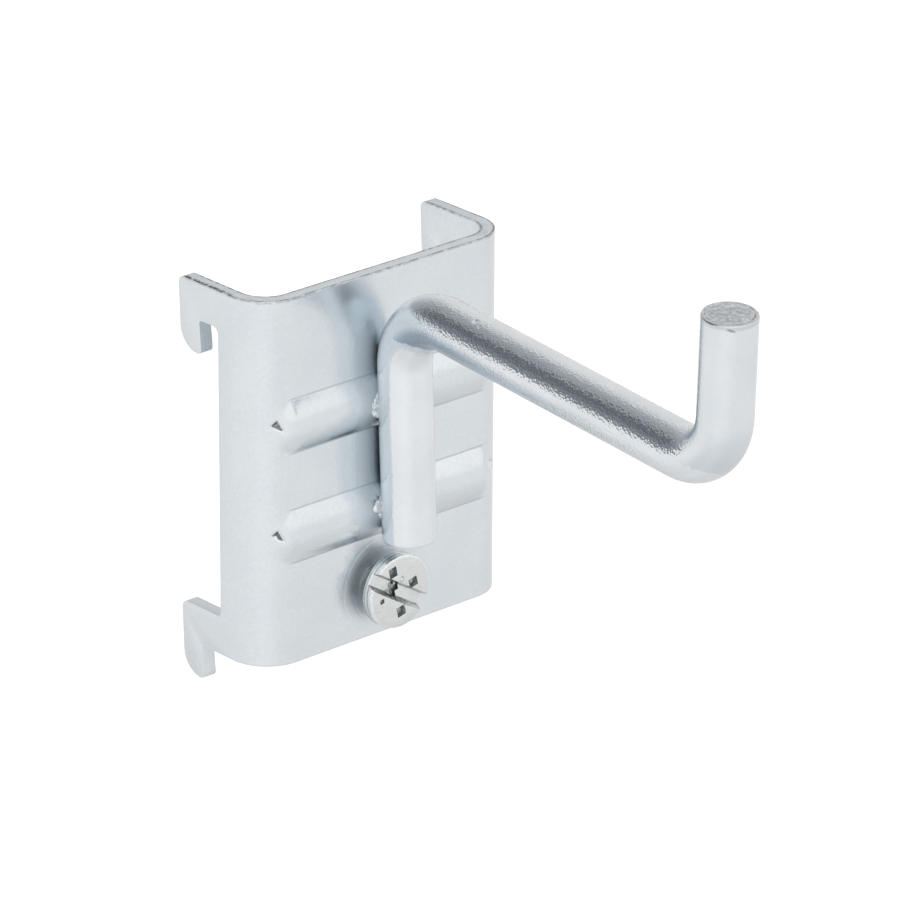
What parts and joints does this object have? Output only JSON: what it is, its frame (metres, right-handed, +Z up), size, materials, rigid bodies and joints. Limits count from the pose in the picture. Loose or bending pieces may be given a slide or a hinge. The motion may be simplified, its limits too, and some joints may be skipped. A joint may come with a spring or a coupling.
{
  "type": "pegboard hook",
  "caption": "Zinc-plated pegboard hook: a folded sheet bracket with claws, a bent round bar with an upturned tip welded to its front, and a locking screw below it.",
  "frame": {"origin": "On the board's face, midway between the claws, at the height where the lower claws hang on the board", "axes": "+X to the right seen from the front, +Y into the board, +Z up"},
  "size_m": [0.036, 0.0708, 0.058],
  "materials": {
    "zinc_sheet": "satin",
    "zinc_bar": "satin",
    "weld_metal": "rough",
    "zinc_screw": "bright"
  },
  "bodies": {
    "bracket": {"bracket": "zinc_sheet", "hook_rod": "zinc_bar", "rod_welds": "weld_metal"},
    "screw": {"lock_screw": "zinc_screw"}
  },
  "joints": [
    {"name": "screw_feed", "type": "slide", "parent": "bracket", "child": "screw", "axis": [0, 1, 0], "range_m": [-0.005, 0.00115]}
  ]
}
